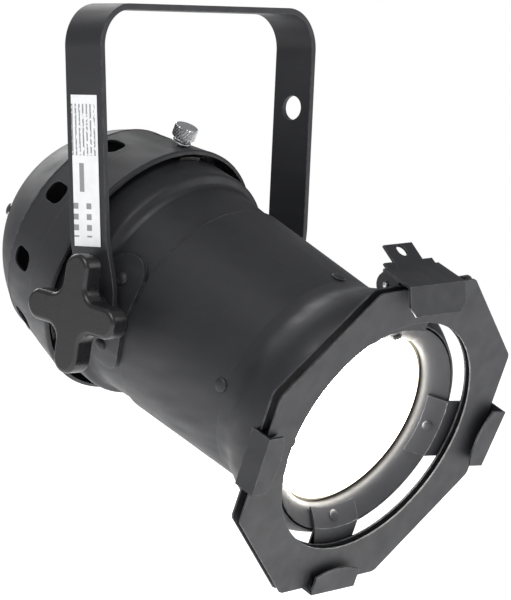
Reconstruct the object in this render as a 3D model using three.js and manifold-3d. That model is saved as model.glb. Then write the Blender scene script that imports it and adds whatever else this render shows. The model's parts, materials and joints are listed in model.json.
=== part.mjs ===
// PAR can spotlight: a black spun can hung in a flat-bar yoke, with a vented rear cap, a reflector lamp
// on an E27 holder, and a colour frame held at the nose by three clips and a sprung latch.
//
// Millimetres, +Z up, the light points to -Y. The origin is the clamp hole in the yoke, on the top face
// of the bar. Everything that tilts is built in the can group, whose origin is the pivot axis and whose
// own axis is Y. Stations along the can are measured forward of the pivot, so station s lies at y = -s.
import * as THREE from 'three';
import { mergeVertices } from 'three/addons/utils/BufferGeometryUtils.js';
import Module from 'manifold-3d';

const wasm = await Module();
wasm.setup();

// ---------------------------------------------------------------- driving dimensions
const GAP = 0.3;                 // clearance left between neighbouring pieces
const ROUND = 36;                // facets round the can
const LAMP_ROUND = 24;           // facets round the lamp and its holder
const SMALL_ROUND = 16;          // facets round bolts, washers and bores
const RIVET_ROUND = 8;
const RIVET_TAIL_T = 1;
const SHEET = 1.0;               // steel sheet of the can, cap and clips

const STRAP_W = 24;              // yoke flat bar
const STRAP_T = 3;
const YOKE_W = 157;              // over the two arms, at the top bar
const YOKE_LEAN = 3;             // degrees each arm leans in
const YOKE_CORNER = 20;          // outside bend radius
const PIVOT_DROP = 147;          // top bar to pivot axis
const JOGGLE_TOP = 34;           // the arms step in from here, above the pivot
const JOGGLE_FOOT = 13;
const ARM_X = 67.5;              // outer face of each arm at the pivot
const CLAMP_HOLE_R = 6.25;       // clears an M12 clamp bolt
const SAFETY_HOLE = { r: 6, drop: 49.5 };
const LABEL = { w: 17, h: 72, t: 0.3, top: 43.5 };

const CAN_TILT = 26;             // degrees nose-down at rest
const CAN_RISE = 3;              // the can's own axis above the pivot axis
const BOLT_R = 4;                // M8 pivot bolts
const BORE_R = BOLT_R + 0.4;
const SPACER = { r: 9, x: 59.3, t: 3 };
const WASHER = { r: 10, x: 62.6, t: 1.6 };
const SADDLE = { inner: 57, t: 1.9, w: 24, length: 60, rivet: 18 };
const KNOB = { r: 29, lobe: 7.5, fillet: 7, t: 11.5, edge: 1.5, boss: 11, bossT: 5.2, turn: -16 };

const REAR_BODY = { back: -47, shoulder: -16.5, neck: -13.5, front: 29 };
const REAR_R = { back: 60.1, shoulder: 61.2, neck: 56.6, spigot: 55.2 };
const BARREL = { back: 11.3, waist: 80, nose: 124.5 };
const BARREL_R = { back: 56.6, waist: 55.2, nose: 56.6 };
const BARREL_RIVET = 77;         // station of the ring of four rivets

const CAP_RIM = { s: -33, r: 66.4, lip: 1.8 };
const CAP_STEP = { s: -50.7, r: 62.5 };
const CAP_BAND = { s: -72, r: 57.7 };
const CAP_POLE = -113;
const VENT = { count: 10, first: 115, long: 12.5, wide: 11, corner: 4.2, s: -61.5 };
const THUMB_S = -42;             // station of the thumb screw
const THUMB = { head: 6, headT: 6, neck: 3.6, neckT: 1.6, shank: 2.2, flutes: 24, washer: 4.8 };
const LUG = { t: 1.7, w: 14, back: -44.5, front: -33, slot: 5.4 };
const LUG_TURNS = { top: 90, left: 210, right: 330 };
const GLAND = { hex: 9, hexT: 4.5, nut: 7.6, nutT: 9, bore: 3.4, thread: 6, threadHole: 6.4 };

const LENS = { r: 47.3, back: 106.5, edge: 111, front: 117 };
const HOLDER = { r: 20, back: -14, front: 28.5, bore: 14.2, seat: 3 };
const BRACKET = { w: 16, t: 1.5, half: 27 };
const RING = { back: 70, bend: 84, foot: [110.5, 51], throat: [115.2, 41], rim: [123.9, 55.2] };

const FRAME = {
  flats: 162, corner: 47.7, hole: 61.3, t: 1.0, back: 127.2, front: 131.3, splay: 0.7, roll: 4.5,
};
const CLIP = { w: 30, t: 1.2, back: 125, reach: 136.8, lip: 9.5, bulge: 3, tab: 118.6 };
const CLIPS = {                  // each clip's place round the nose, and its reach out to the frame's edge
  right: { turn: -3, inside: 84.2 },
  left: { turn: 185.5, inside: 82.2 },
  bottom: { turn: 274.5, inside: 81.8 },
};
const LATCH = { w: 39, s: 120, v: 76.5, top: 82.3, ear: 6.2, front: 134, lipDrop: 12, lipReach: 6, roll: 3 };
const TAB = { w: 20, length: 9, rise: 4, hole: 3 };
const PIN_R = 1.5;

// ---------------------------------------------------------------- geometry helpers
const rad = THREE.MathUtils.degToRad;

// A closed three.js geometry as a solid with outward faces.
function solid(geometry) {
  const bare = geometry.clone();
  for (const name of Object.keys(bare.attributes)) {
    if (name !== 'position') bare.deleteAttribute(name);
  }
  const merged = mergeVertices(bare, 1e-3);
  const place = merged.attributes.position;
  const index = merged.index.array;
  const triVerts = [];
  let volume = 0;
  const [a, b, c] = [new THREE.Vector3(), new THREE.Vector3(), new THREE.Vector3()];
  for (let i = 0; i < index.length; i += 3) {
    const [p, q, r] = [index[i], index[i + 1], index[i + 2]];
    if (p === q || q === r || r === p) continue;
    triVerts.push(p, q, r);
    a.fromBufferAttribute(place, p);
    b.fromBufferAttribute(place, q);
    c.fromBufferAttribute(place, r);
    volume += a.dot(b.cross(c));
  }
  if (volume < 0) triVerts.reverse();
  return new wasm.Manifold(new wasm.Mesh({
    numProp: 3,
    vertProperties: new Float32Array(place.array),
    triVerts: new Uint32Array(triVerts),
  }));
}

function toGeometry(manifold) {
  const mesh = manifold.getMesh();
  const geometry = new THREE.BufferGeometry();
  geometry.setAttribute('position', new THREE.BufferAttribute(Float32Array.from(mesh.vertProperties), 3));
  geometry.setIndex(new THREE.BufferAttribute(Uint32Array.from(mesh.triVerts), 1));
  geometry.computeVertexNormals();
  return geometry;
}

function unite(first, ...others) {
  return others.reduce((sum, next) => sum.add(next), first);
}

function cut(first, ...others) {
  return others.reduce((sum, next) => sum.subtract(next), first);
}

function box(x, y, z, cx = 0, cy = 0, cz = 0) {
  return solid(new THREE.BoxGeometry(x, y, z).translate(cx, cy, cz));
}

// A round bar along the X axis from one x to another.
function rodX(r, from, to, y = 0, z = 0, facets = SMALL_ROUND) {
  const bar = new THREE.CylinderGeometry(r, r, Math.abs(to - from), facets).rotateZ(Math.PI / 2);
  return solid(bar.translate((from + to) / 2, y, z));
}

// A profile of [station, radius] points turned about the can's own axis.
function turned(profile, facets = ROUND) {
  const points = profile.map(([s, r]) => new THREE.Vector2(r, -s));
  return solid(new THREE.LatheGeometry(points, facets));
}

// A profile of [height, radius] points turned about X, the height running along +X.
function turnedX(profile, facets = SMALL_ROUND) {
  const points = profile.map(([x, r]) => new THREE.Vector2(r, x));
  return solid(new THREE.LatheGeometry(points, facets).rotateZ(-Math.PI / 2));
}

// The same open line, moved sideways to its left by a distance, with mitred corners.
function offsetLine(points, distance) {
  const normals = points.slice(1).map(([x, y], i) => {
    const [dx, dy] = [x - points[i][0], y - points[i][1]];
    const length = Math.hypot(dx, dy);
    return [-dy / length, dx / length];
  });
  return points.map(([x, y], i) => {
    const before = normals[Math.max(i - 1, 0)];
    const after = normals[Math.min(i, normals.length - 1)];
    const [mx, my] = [before[0] + after[0], before[1] + after[1]];
    const scale = (2 * distance) / (mx * mx + my * my);
    return [x + mx * scale, y + my * scale];
  });
}

// A strip of even thickness, its given line being one face, closed into a loop of points.
function strip(points, thickness) {
  return [...points, ...offsetLine(points, thickness).reverse()];
}

function closed(points) {
  return [...points, points[0]];
}

function shapeOf(points) {
  return new THREE.Shape(points.map(([x, y]) => new THREE.Vector2(x, y)));
}

// An outline of [x, z] points made into a slab that is centred on y.
function slabXZ(outline, width, y = 0) {
  const slab = new THREE.ExtrudeGeometry(shapeOf(outline), { depth: width, bevelEnabled: false });
  return solid(slab.translate(0, 0, -width / 2).rotateX(Math.PI / 2).translate(0, y, 0));
}

// An outline of [station, height] points made into a slab that is centred on x.
function slabSZ(outline, width, x = 0) {
  const slab = new THREE.ExtrudeGeometry(shapeOf(outline), { depth: width, bevelEnabled: false });
  slab.translate(0, 0, -width / 2).rotateX(Math.PI / 2).rotateZ(-Math.PI / 2);
  return solid(slab.translate(x, 0, 0));
}

// An outline of [x, z] points made into a sheet across the can, between two stations.
function sheetAcross(shape, back, front) {
  const sheet = new THREE.ExtrudeGeometry(shape, {
    depth: front - back, bevelEnabled: false, curveSegments: ROUND / 2,
  });
  return solid(sheet.rotateX(Math.PI / 2).translate(0, -back, 0));
}

// Moves a piece built on the +X side to its place round the can's axis, 90 degrees being the top.
function roundCan(manifold, degrees) {
  const geometry = toGeometry(manifold).rotateY(-rad(degrees)).translate(0, 0, CAN_RISE);
  return solid(geometry);
}

const toAxis = (manifold) => solid(toGeometry(manifold).translate(0, 0, CAN_RISE));

// ---------------------------------------------------------------- scene
const light = new THREE.Group();
const can = new THREE.Group();
can.position.z = -PIVOT_DROP;
can.rotation.x = rad(CAN_TILT);
light.add(can);

function finish(color, roughness, metalness) {
  return () => new THREE.MeshStandardMaterial({ color, roughness, metalness });
}
const blackPaint = finish(0x2b2c2f, 0.55, 0.1);
const blackPlastic = finish(0x1d1d1f, 0.35, 0);
const zinc = finish(0xc9ccd0, 0.3, 1);
const darkSteel = finish(0x3a3b3e, 0.45, 0.9);
const springSteel = finish(0x9a9ca0, 0.3, 1);
const ceramic = finish(0xe9e4d8, 0.5, 0);
const brass = finish(0xb9974f, 0.35, 1);
const silvered = finish(0xd9dbde, 0.15, 1);
const glowingGlass = finish(0xfffaf0, 0.2, 0);
const paper = finish(0xf2f2f0, 0.7, 0);

function add(parent, name, manifold, material) {
  const mesh = new THREE.Mesh(toGeometry(manifold), material());
  mesh.name = name;
  parent.add(mesh);
  return mesh;
}

// ---------------------------------------------------------------- yoke
// Outer face of the right arm, from the middle of the top bar down to the foot.
function armLine() {
  const [c, s] = [Math.cos(rad(YOKE_LEAN)), Math.sin(rad(YOKE_LEAN))];
  const centreX = ((YOKE_W / 2) * c - YOKE_CORNER - YOKE_CORNER * s) / c;
  const line = [];
  for (let i = 0; i <= 8; i += 1) {
    const turn = rad(90 - (i / 8) * (90 + YOKE_LEAN));
    line.push([centreX + YOKE_CORNER * Math.cos(turn), -YOKE_CORNER + YOKE_CORNER * Math.sin(turn)]);
  }
  const kneeZ = JOGGLE_TOP - PIVOT_DROP;
  line.push([YOKE_W / 2 + kneeZ * Math.tan(rad(YOKE_LEAN)), kneeZ]);
  line.push([ARM_X, JOGGLE_FOOT - PIVOT_DROP]);
  line.push([ARM_X, -PIVOT_DROP - STRAP_W / 2]);
  return line;
}

function makeYoke() {
  const right = armLine();
  const left = right.map(([x, z]) => [-x, z]).reverse();
  const bar = slabXZ(strip([...left, ...right], -STRAP_T), STRAP_W);
  const foot = box(2 * YOKE_W, STRAP_W + 2, STRAP_W, 0, 0, -PIVOT_DROP - STRAP_W / 2);
  const roundedFoot = rodX(STRAP_W / 2, -YOKE_W, YOKE_W, 0, -PIVOT_DROP, 32);
  const pivotHoles = rodX(BORE_R, -YOKE_W, YOKE_W, 0, -PIVOT_DROP);
  const clampHole = solid(
    new THREE.CylinderGeometry(CLAMP_HOLE_R, CLAMP_HOLE_R, 4 * STRAP_T, SMALL_ROUND).rotateX(Math.PI / 2),
  );
  const safetyHole = rodX(SAFETY_HOLE.r, YOKE_W / 4, YOKE_W, 0, -SAFETY_HOLE.drop);
  add(light, 'yoke', cut(bar, cut(foot, roundedFoot), pivotHoles, clampHole, safetyHole), blackPaint);

  const label = add(light, 'rating_label', box(LABEL.t, LABEL.w, LABEL.h), paper);
  const labelZ = -LABEL.top - LABEL.h / 2;
  const standOff = LABEL.t / 2 + 0.15;
  label.rotation.y = -rad(YOKE_LEAN);
  label.position.set(-YOKE_W / 2 - labelZ * Math.tan(rad(YOKE_LEAN)) - standOff, 0, labelZ);
}

// ---------------------------------------------------------------- pivots and knobs
function knobOutline() {
  const shape = new THREE.Shape();
  const tip = KNOB.r - KNOB.lobe;
  const inner = KNOB.lobe + KNOB.fillet;
  for (let i = 0; i < 4; i += 1) {
    const turn = rad(KNOB.turn + 90 * i);
    const at = (x, y) => [x * Math.cos(turn) - y * Math.sin(turn), x * Math.sin(turn) + y * Math.cos(turn)];
    shape.absarc(...at(tip, 0), KNOB.lobe, turn - Math.PI / 2, turn + Math.PI / 2, false);
    shape.absarc(...at(inner, inner), KNOB.fillet, turn - Math.PI / 2, turn - Math.PI, true);
  }
  return shape;
}

function makeKnob() {
  const bevel = { depth: KNOB.t - 2 * KNOB.edge, bevelThickness: KNOB.edge, bevelSize: KNOB.edge };
  const star = new THREE.ExtrudeGeometry(knobOutline(), {
    ...bevel, bevelOffset: -KNOB.edge, bevelSegments: 1, curveSegments: 3,
  });
  const bossBack = ARM_X + 2 * GAP;
  const lobes = solid(
    star.rotateX(Math.PI / 2).rotateZ(Math.PI / 2).translate(bossBack + KNOB.bossT + KNOB.edge, 0, 0),
  );
  const boss = rodX(KNOB.boss, bossBack, bossBack + KNOB.bossT + 1);
  const socket = rodX(BORE_R, ARM_X, ARM_X + KNOB.t - 1);
  return cut(unite(lobes, boss), socket);
}

// Mirrors a piece that was built for the +X side.
function sided(manifold, sign) {
  return solid(toGeometry(manifold).scale(sign, 1, 1));
}

// A domed rivet standing on +X: its head seats at x = 0, and its tail closes behind the grip.
function rivet(headR, headT, shankR, grip, tailR) {
  return turnedX([
    [-grip - RIVET_TAIL_T, 0], [-grip - RIVET_TAIL_T, tailR], [-grip, tailR], [-grip, shankR],
    [0, shankR], [0, headR], [headT * 0.65, headR * 0.75], [headT, 0],
  ], RIVET_ROUND);
}

function placeRivet(manifold, radius, station, tilt, degrees) {
  const seated = toGeometry(manifold).rotateZ(-rad(tilt)).translate(radius, -station, 0);
  return roundCan(solid(seated), degrees);
}

function rivetHole(shankR, radius, station, tilt, degrees) {
  return placeRivet(rodX(shankR + GAP, -9, 9), radius, station, tilt, degrees);
}

const SADDLE_RIVET = { head: 3, headT: 1.7, shank: 1.6, tail: 2.5 };
const saddleTurn = (end) => THREE.MathUtils.radToDeg(
  Math.asin((end * SADDLE.rivet - CAN_RISE) / (SADDLE.inner + SADDLE.t)),
);
const saddleTurns = [1, -1].flatMap((end) => [saddleTurn(end), 180 - saddleTurn(end)]);

function saddleHoles() {
  const seat = SADDLE.inner + SADDLE.t;
  return saddleTurns.map((degrees) => rivetHole(SADDLE_RIVET.shank, seat, 0, 0, degrees));
}

function makePivots() {
  const outer = SADDLE.inner + SADDLE.t;
  const shell = toAxis(turned(closed([
    [-SADDLE.w, SADDLE.inner], [SADDLE.w, SADDLE.inner], [SADDLE.w, outer], [-SADDLE.w, outer],
  ])));
  const straight = SADDLE.length - SADDLE.w;
  const blank = unite(
    box(outer, SADDLE.w, straight, outer / 2 + 20),
    rodX(SADDLE.w / 2, 20, outer + 5, 0, straight / 2, 24),
    rodX(SADDLE.w / 2, 20, outer + 5, 0, -straight / 2, 24),
  );
  const saddle = cut(shell.intersect(blank), rodX(BORE_R, 0, 2 * outer), ...saddleHoles());
  const wall = REAR_R.neck - 4;
  const bolt = turnedX([
    [wall - 3, 0], [wall - 3, 6.5], [wall, 6.5], [wall, BOLT_R],
    [ARM_X + KNOB.t - 1.5, BOLT_R], [ARM_X + KNOB.t - 1.5, 0],
  ]);
  const ringX = ({ x, t, r }) => turnedX(closed([
    [x, BORE_R], [x, r], [x + t, r], [x + t, BORE_R],
  ]));
  for (const [side, sign] of [['left', -1], ['right', 1]]) {
    add(can, `pivot_plate_${side}`, sided(saddle, sign), blackPaint);
    add(can, `pivot_bolt_${side}`, sided(bolt, sign), darkSteel);
    add(can, `pivot_spacer_${side}`, sided(ringX(SPACER), sign), darkSteel);
    add(can, `pivot_washer_${side}`, sided(ringX(WASHER), sign), zinc);
    add(can, `knob_${side}`, sided(makeKnob(), sign), blackPlastic);
    for (const [end, way] of [['upper', 1], ['lower', -1]]) {
      const degrees = sign > 0 ? saddleTurn(way) : 180 - saddleTurn(way);
      const { head, headT, shank, tail } = SADDLE_RIVET;
      const piece = rivet(head, headT, shank, outer + GAP - REAR_R.neck + SHEET + 5 * GAP, tail);
      add(can, `plate_rivet_${side}_${end}`, placeRivet(piece, outer + GAP, 0, 0, degrees), blackPaint);
    }
  }
}

// ---------------------------------------------------------------- body
const bell = new THREE.SplineCurve([
  [BARREL.waist, BARREL_R.waist], [88, 56.4], [97, 60.3], [106, 62.3], [115, 61.5],
  [BARREL.nose, BARREL_R.nose],
].map(([s, r]) => new THREE.Vector2(s, r)));
const bellLine = bell.getPoints(8).map(({ x, y }) => [x, y]);

// The lamp ring narrows to a throat in front of the lens, then opens as a funnel to the rim of the nose.
const funnel = new THREE.QuadraticBezierCurve(
  new THREE.Vector2(...RING.foot), new THREE.Vector2(...RING.throat), new THREE.Vector2(...RING.rim),
);
const funnelLine = funnel.getPoints(8).map(({ x, y }) => [x, y]);

// The clip rivets stand on the funnel, facing forward and in towards the axis.
const CLIP_RIVET = { head: 2.6, headT: 1.4, shank: 1.5, tail: 2.2, along: 0.8 };
const clipSeat = (() => {
  const at = funnel.getPoint(CLIP_RIVET.along);
  const way = funnel.getTangent(CLIP_RIVET.along);
  const tilt = Math.atan2(way.y, -way.x);
  const out = SHEET + CLIP.t + 2 * GAP;
  return {
    s: at.x + out * Math.sin(tilt), r: at.y + out * Math.cos(tilt), tilt: THREE.MathUtils.radToDeg(tilt),
  };
})();
const quarterTurns = { right: 0, top: 90, left: 180, bottom: 270 };
const noseTurns = {
  top: 90 + LATCH.roll, right: CLIPS.right.turn, left: CLIPS.left.turn, bottom: CLIPS.bottom.turn,
};
const clipHoles = () => Object.values(noseTurns).map(
  (degrees) => rivetHole(CLIP_RIVET.shank, clipSeat.r, clipSeat.s, clipSeat.tilt, degrees),
);
const BARREL_RIVET_SIZE = { head: 3.4, headT: 1.1, shank: 1.5, tail: 2.4 };
const barrelSeat = BARREL_R.waist + 0.1;
const barrelHoles = () => Object.values(quarterTurns).map(
  (degrees) => rivetHole(BARREL_RIVET_SIZE.shank, barrelSeat, BARREL_RIVET, 0, degrees),
);

function makeBody() {
  const rear = [
    [REAR_BODY.back, REAR_R.back], [REAR_BODY.shoulder - 2, REAR_R.shoulder],
    [REAR_BODY.shoulder, REAR_R.shoulder - 0.7], [REAR_BODY.neck - 1, REAR_R.neck + 0.9],
    [REAR_BODY.neck + 1, REAR_R.neck], [BARREL.back, REAR_R.spigot + 0.1], [REAR_BODY.front, REAR_R.spigot],
  ];
  const rearShell = toAxis(turned(closed(strip(rear, -SHEET))));
  add(can, 'rear_body', cut(rearShell, rodX(BORE_R, -80, 80), ...saddleHoles()), blackPaint);

  const barrel = [[BARREL.back, BARREL_R.back], ...bellLine];
  const shell = toAxis(turned(closed(strip(barrel, -SHEET))));
  add(can, 'front_barrel', cut(shell, ...barrelHoles()), blackPaint);

  const { head, headT, shank, tail } = BARREL_RIVET_SIZE;
  const grip = barrelSeat + GAP - (BARREL_R.waist - 2 * SHEET - GAP) + 3 * GAP;
  for (const [side, degrees] of Object.entries(quarterTurns)) {
    const piece = rivet(head, headT, shank, grip, tail);
    const placed = placeRivet(piece, barrelSeat + GAP, BARREL_RIVET, 0, degrees);
    add(can, `barrel_rivet_${side}`, placed, blackPaint);
  }
}

// ---------------------------------------------------------------- rear cap
function capLine() {
  const dome = new THREE.QuadraticBezierCurve(
    new THREE.Vector2(CAP_BAND.s, CAP_BAND.r),
    new THREE.Vector2(CAP_POLE + 2.5, 0.7 * CAP_BAND.r),
    new THREE.Vector2(CAP_POLE, 0),
  );
  return [
    [CAP_RIM.s + 1.2, CAP_RIM.r - CAP_RIM.lip], [CAP_RIM.s + 0.9, CAP_RIM.r - 0.4],
    [CAP_RIM.s, CAP_RIM.r], [CAP_RIM.s - 2.5, CAP_RIM.r - 0.6],
    [CAP_STEP.s + 1, CAP_STEP.r + 0.25], [CAP_STEP.s - 1, CAP_STEP.r - 0.35],
    ...dome.getPoints(6).map(({ x, y }) => [x, y]),
  ];
}

function roundedSlot(long, wide, corner) {
  const [x, y] = [long / 2 - corner, wide / 2 - corner];
  const shape = new THREE.Shape();
  shape.absarc(x, y, corner, 0, Math.PI / 2, false);
  shape.absarc(-x, y, corner, Math.PI / 2, Math.PI, false);
  shape.absarc(-x, -y, corner, Math.PI, 1.5 * Math.PI, false);
  shape.absarc(x, -y, corner, 1.5 * Math.PI, 2 * Math.PI, false);
  return shape;
}

function ventCutter() {
  const shape = roundedSlot(VENT.wide, VENT.long, VENT.corner);
  const punch = new THREE.ExtrudeGeometry(shape, { depth: 30, bevelEnabled: false, curveSegments: 1 });
  return solid(punch.rotateY(Math.PI / 2).translate(45, -VENT.s, 0));
}

const capDomeSeat = { s: -84, r: 51.3, tilt: -33 };
const bracketSeat = { s: -98.5, r: 38.5, tilt: -50 };
const BRACKET_RIVET = { head: 3, headT: 1.4, shank: 1.6, tail: 2.4 };

function makeCap() {
  const outer = capLine();
  const inner = offsetLine(outer, SHEET).map(([s, r]) => [s, Math.max(r, 0)]);
  inner[inner.length - 1] = [CAP_POLE + SHEET, 0];
  const shell = toAxis(turned([...outer].reverse().concat(inner)));
  const vents = Array.from({ length: VENT.count }, (_, i) => (
    roundCan(ventCutter(), VENT.first + (360 / VENT.count) * i)
  ));
  const thumbHole = roundCan(rodX(THUMB.shank + 0.5, 55, 80, -THUMB_S), LUG_TURNS.top);
  const glandHole = rivetHole(GLAND.threadHole - GAP, capDomeSeat.r, capDomeSeat.s, capDomeSeat.tilt, 270);
  const bracketHoles = [0, 180].map(
    (degrees) => rivetHole(BRACKET_RIVET.shank, bracketSeat.r, bracketSeat.s, bracketSeat.tilt, degrees),
  );
  add(can, 'rear_cap', cut(shell, ...vents, thumbHole, glandHole, ...bracketHoles), blackPaint);
}

function makeCapFixings() {
  const bodyR = REAR_R.back + 0.5;
  const plate = turned(closed([
    [LUG.back, bodyR + GAP], [LUG.front, bodyR + GAP], [LUG.front, bodyR + GAP + LUG.t],
    [LUG.back, bodyR + GAP + LUG.t],
  ]));
  const blank = box(80, 60, LUG.w, 60, -(LUG.back + LUG.front) / 2);
  const slot = box(80, 20, LUG.slot, 60, -THUMB_S + 10 - LUG.slot / 2);
  const slotEnd = rodX(LUG.slot / 2, 20, 90, -THUMB_S);
  const screwed = cut(plate.intersect(blank), slot, slotEnd);
  for (const [side, degrees] of Object.entries(LUG_TURNS)) {
    add(can, `cap_lug_${side}`, roundCan(screwed, degrees), darkSteel);
  }

  const skirtSlope = (CAP_RIM.r - CAP_STEP.r) / (CAP_RIM.s - CAP_STEP.s);
  const washerT = 1.1;
  const washerX = CAP_STEP.r + (THUMB_S - CAP_STEP.s) * skirtSlope + 1.3;
  const neckX = washerX + washerT + GAP;
  const washer = turnedX(closed([
    [washerX, THUMB.shank + GAP], [washerX, THUMB.washer],
    [washerX + washerT, THUMB.washer], [washerX + washerT, THUMB.shank + GAP],
  ]));
  const flutes = new THREE.Shape(Array.from({ length: 2 * THUMB.flutes }, (_, i) => {
    const r = THUMB.head - (i % 2) * 0.35;
    const turn = (Math.PI * i) / THUMB.flutes;
    return new THREE.Vector2(r * Math.cos(turn), r * Math.sin(turn));
  }));
  const head = new THREE.ExtrudeGeometry(flutes, {
    depth: THUMB.headT - 1, bevelThickness: 0.5, bevelSize: 0.5, bevelOffset: -0.5, bevelSegments: 1,
  }).rotateY(Math.PI / 2).translate(neckX + THUMB.neckT + 0.5, 0, 0);
  const stem = turnedX([
    [bodyR + GAP + 0.2, 0], [bodyR + GAP + 0.2, THUMB.shank], [neckX, THUMB.shank], [neckX, THUMB.neck],
    [neckX + THUMB.neckT + 1, THUMB.neck], [neckX + THUMB.neckT + 1, 0],
  ]);
  const place = (piece) => roundCan(solid(toGeometry(piece).translate(0, -THUMB_S, 0)), LUG_TURNS.top);
  add(can, 'thumb_screw', place(unite(solid(head), stem)), zinc);
  add(can, 'thumb_screw_washer', place(washer), zinc);
}

function makeGland() {
  const hexagon = (r, from, to) => rodX(r, from, to, 0, 0, 6);
  const seatOut = 0.5;
  const flange = hexagon(GLAND.hex, seatOut, seatOut + GLAND.hexT);
  const thread = rodX(GLAND.thread, -9, seatOut + GLAND.hexT + 6);
  const body = cut(unite(flange, thread), rodX(GLAND.bore, -20, 20));
  const nutX = seatOut + GLAND.hexT + GAP;
  const nut = turnedX(closed([
    [nutX, GLAND.thread + GAP], [nutX, GLAND.nut], [nutX + 0.55 * GLAND.nutT, GLAND.nut],
    [nutX + GLAND.nutT, GLAND.bore + 1.6], [nutX + GLAND.nutT, GLAND.bore], [nutX + 6.5, GLAND.bore],
    [nutX + 6.5, GLAND.thread + GAP],
  ]));
  const lockNut = cut(hexagon(GLAND.hex - 0.5, -7.2, -3.4), rodX(GLAND.thread + GAP, -20, 20));
  const place = (piece) => placeRivet(piece, capDomeSeat.r, capDomeSeat.s, capDomeSeat.tilt, 270);
  add(can, 'cable_gland_body', place(body), blackPlastic);
  add(can, 'cable_gland_nut', place(nut), blackPlastic);
  add(can, 'cable_gland_locknut', place(lockNut), blackPlastic);
}

// ---------------------------------------------------------------- lamp and its holder
function makeLamp() {
  const lens = new THREE.QuadraticBezierCurve(
    new THREE.Vector2(LENS.edge, LENS.r),
    new THREE.Vector2(LENS.front, 0.9 * LENS.r),
    new THREE.Vector2(LENS.front, 0),
  ).getPoints(5).map(({ x, y }) => [x, y]);
  const lensLine = [[LENS.back, 0], [LENS.back, LENS.r - 0.4], [LENS.back + 0.8, LENS.r], ...lens];
  add(can, 'lamp_lens', toAxis(turned(lensLine)), glowingGlass);

  const bowl = new THREE.QuadraticBezierCurve(
    new THREE.Vector2(46, 17.5), new THREE.Vector2(72, 43.5), new THREE.Vector2(LENS.back - 2, LENS.r - 0.2),
  ).getPoints(5).map(({ x, y }) => [x, y]);
  const bowlLine = [[30, 15.6], [44, 16], ...bowl, [LENS.back - GAP, LENS.r]];
  const bowlInside = offsetLine(bowlLine, -1.5).slice(1).reverse();
  bowlInside[0] = [LENS.back - GAP, LENS.r - 1.6];
  const reflector = [[30, 0], ...bowlLine, ...bowlInside, [44, 12], [44, 0]];
  add(can, 'lamp_reflector', toAxis(turned(reflector, LAMP_ROUND)), silvered);

  const threads = Array.from({ length: 7 }, (_, i) => [9.5 + 2.8 * i, i % 2 ? 12.5 : 13.3]);
  const base = [[4.6, 0], [4.6, 5], [6.6, 6], [7.4, 10.5], ...threads, [30 - GAP, 13.3], [30 - GAP, 0]];
  add(can, 'lamp_base', toAxis(turned(base, SMALL_ROUND)), brass);
}

function makeHolder() {
  const { r, back, front, bore, seat } = HOLDER;
  const cup = [
    [back, 0], [back, 15], [back + 3, 17.5], [8, 17.5], [10, r], [front - 1, r], [front, r - 1],
    [front, bore], [seat, bore], [seat, 0],
  ];
  add(can, 'lampholder', toAxis(turned(cup, LAMP_ROUND)), ceramic);

  const foot = bracketSeat.s;
  const half = BRACKET.half;
  const leg = [
    [half + 13.2, foot + 4.6], [half + 6.8, foot - 0.8], [half + 3.5, foot + 2.3],
    [half, back - GAP - BRACKET.t],
  ];
  const line = [...leg.map(([x, s]) => [-x, s]), ...[...leg].reverse()];
  const bar = slabXZ(strip(line, BRACKET.t), BRACKET.w);
  const flat = solid(toGeometry(bar).rotateX(Math.PI / 2).translate(0, 0, CAN_RISE));
  const holes = [0, 180].map(
    (degrees) => rivetHole(BRACKET_RIVET.shank, bracketSeat.r, bracketSeat.s, bracketSeat.tilt, degrees),
  );
  add(can, 'lampholder_bracket', cut(flat, ...holes), springSteel);
  const { head, headT, shank, tail } = BRACKET_RIVET;
  for (const [side, degrees] of [['right', 0], ['left', 180]]) {
    const piece = rivet(head, headT, shank, SHEET + BRACKET.t + 9 * GAP, tail);
    const seatR = bracketSeat.r + GAP * Math.cos(rad(bracketSeat.tilt));
    const seatS = bracketSeat.s + GAP * Math.sin(rad(bracketSeat.tilt));
    const placed = placeRivet(piece, seatR, seatS, bracketSeat.tilt, degrees);
    add(can, `bracket_rivet_${side}`, placed, blackPaint);
  }
  const block = cut(
    box(30, 14, 13, 0, -(back - 2 * GAP - BRACKET.t - 7 - GAP), CAN_RISE),
    ...[-9, 0, 9].map((x) => box(5, 10, 6, x, -(back - 18), CAN_RISE + 6)),
  );
  add(can, 'terminal_block', block, ceramic);
}

function makeLampRing() {
  const sleeveR = BARREL_R.waist - SHEET - GAP - 0.1;
  const line = [[RING.back, sleeveR], [RING.bend, sleeveR], ...funnelLine];
  const shell = toAxis(turned(closed(strip(line, -SHEET))));
  add(can, 'lamp_ring', cut(shell, ...barrelHoles(), ...clipHoles()), blackPaint);
}

// ---------------------------------------------------------------- colour frame, clips and latch
function framePlate(holeR) {
  const half = FRAME.flats / 2;
  const inner = half - FRAME.corner;
  const shape = shapeOf([
    [-inner, half], [inner, half], [half, inner], [half, -inner],
    [inner, -half], [-inner, -half], [-half, -inner], [-half, inner],
  ]);
  const hole = new THREE.Path();
  hole.absarc(0, 0, holeR, 0, 2 * Math.PI, false);
  shape.holes.push(hole);
  return shape;
}

function makeColourFrame() {
  const rear = sheetAcross(framePlate(FRAME.hole), FRAME.back, FRAME.back + FRAME.t);
  const half = FRAME.flats / 2;
  const frontBack = FRAME.front - FRAME.t;
  const frontSheet = toGeometry(sheetAcross(framePlate(FRAME.hole), 0, FRAME.t));
  frontSheet.translate(-half, 0, 0).rotateZ(rad(FRAME.splay)).translate(half, -frontBack, 0);
  const foldDepth = frontBack - FRAME.back + FRAME.t / 2;
  const fold = box(
    FRAME.t, foldDepth, 2 * (half - FRAME.corner), half - FRAME.t / 2, -FRAME.back - foldDepth / 2,
  );
  add(can, 'colour_frame', roundCan(unite(rear, solid(frontSheet), fold), FRAME.roll), blackPaint);
}

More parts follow.
